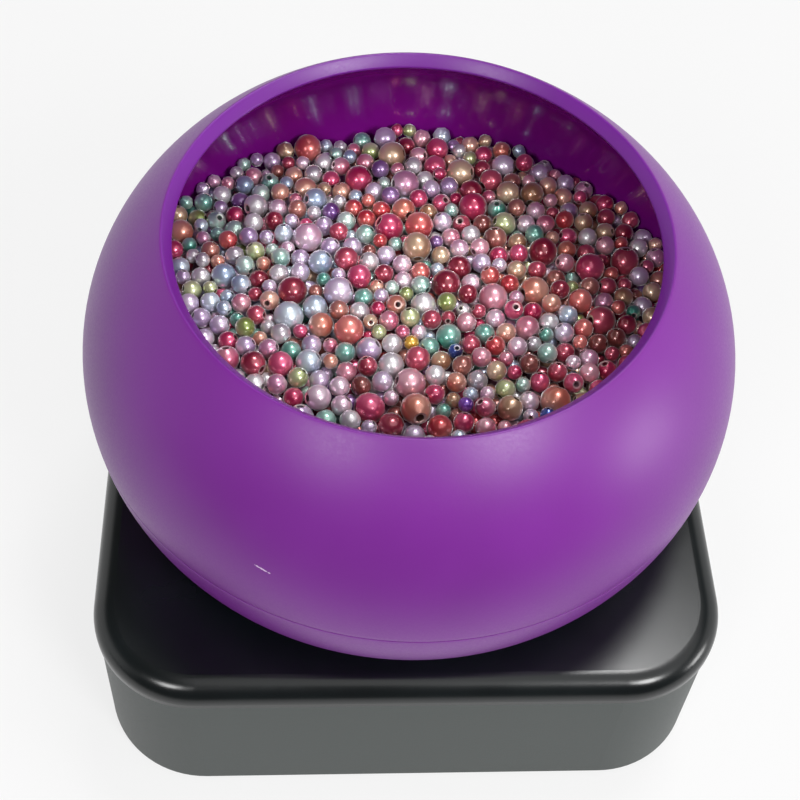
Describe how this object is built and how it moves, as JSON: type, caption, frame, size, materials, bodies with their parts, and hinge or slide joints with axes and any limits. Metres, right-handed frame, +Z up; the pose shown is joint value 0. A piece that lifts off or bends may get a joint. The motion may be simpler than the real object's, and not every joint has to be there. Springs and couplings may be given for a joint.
{
  "type": "bead spinner",
  "caption": "Electric bead spinner: a lift-off round purple bowl of loose beads on a keyed turntable, turned by a geared motor in a black square base with a speed wheel.",
  "frame": {"origin": "on the spindle axis, at the height of the surface that the feet stand on", "axes": "+Z up along the spindle axis, +Y towards the rear of the base with the speed wheel and the power inlet, +X to the right seen from the front"},
  "size_m": [0.125, 0.125, 0.1024],
  "materials": {
    "bowl_purple": "satin moulded",
    "bead_pearl": "pearlescent coating",
    "cover_black": "semi-gloss moulded",
    "housing_dark": "satin moulded",
    "inner_black": "moulded",
    "rubber": "matte",
    "steel": "bright",
    "bronze": "sintered",
    "brass": "machined",
    "nylon": "moulded",
    "board": "solder mask",
    "lead": "smooth"
  },
  "bodies": {
    "base": {"base_cover": "cover_black", "base_housing": "housing_dark", "bottom_plate": "inner_black", "rubber_feet": "rubber", "case_screws": "steel", "gear_plate": "nylon", "gear_plate_screws": "steel", "motor_can": "steel", "motor_screws": "steel", "idler_pin": "steel", "upper_bush": "bronze", "lower_bush": "bronze", "thrust_washer": "nylon", "circuit_board": "board", "board_parts": "inner_black", "board_screws": "steel", "speed_pot": "inner_black", "inlet_jack": "inner_black", "inlet_nut": "steel", "lead_wires": "lead"},
    "spindle": {"spindle_shaft": "steel", "spindle_gear": "nylon", "gear_cross_pin": "steel", "retaining_clip": "steel", "drive_hub": "inner_black", "hub_screw": "steel"},
    "bowl": {"bowl_lower": "bowl_purple", "bowl_upper": "bowl_purple", "bead_fill": "bead_pearl"},
    "idler": {"idler_gear": "nylon"},
    "rotor": {"motor_shaft": "steel", "motor_pinion": "brass"},
    "speed_dial": {"speed_wheel": "inner_black", "dial_shaft": "nylon", "wheel_screw": "steel"}
  },
  "joints": [
    {"name": "spindle_turn", "type": "hinge", "parent": "base", "child": "spindle", "pos_m": [0, 0, 0.0415], "axis": [0, 0, 1], "continuous": true},
    {"name": "bowl_lift", "type": "slide", "parent": "spindle", "child": "bowl", "axis": [0, 0, 1], "range_m": [0, 0.03]},
    {"name": "idler_turn", "type": "hinge", "parent": "base", "child": "idler", "pos_m": [-0.03, 0, 0.0145], "axis": [0, 0, 1], "continuous": true},
    {"name": "rotor_turn", "type": "hinge", "parent": "base", "child": "rotor", "pos_m": [-0.03, 0.0171, 0.0175], "axis": [0, 0, 1], "continuous": true},
    {"name": "dial_turn", "type": "hinge", "parent": "base", "child": "speed_dial", "pos_m": [0.024, 0.0504, 0.027], "axis": [0, 0, 1], "range_deg": [0, 280]}
  ],
  "couplings": [
    {"joint": "idler_turn", "follows": "spindle_turn", "ratio": -4},
    {"joint": "rotor_turn", "follows": "spindle_turn", "ratio": 15}
  ]
}
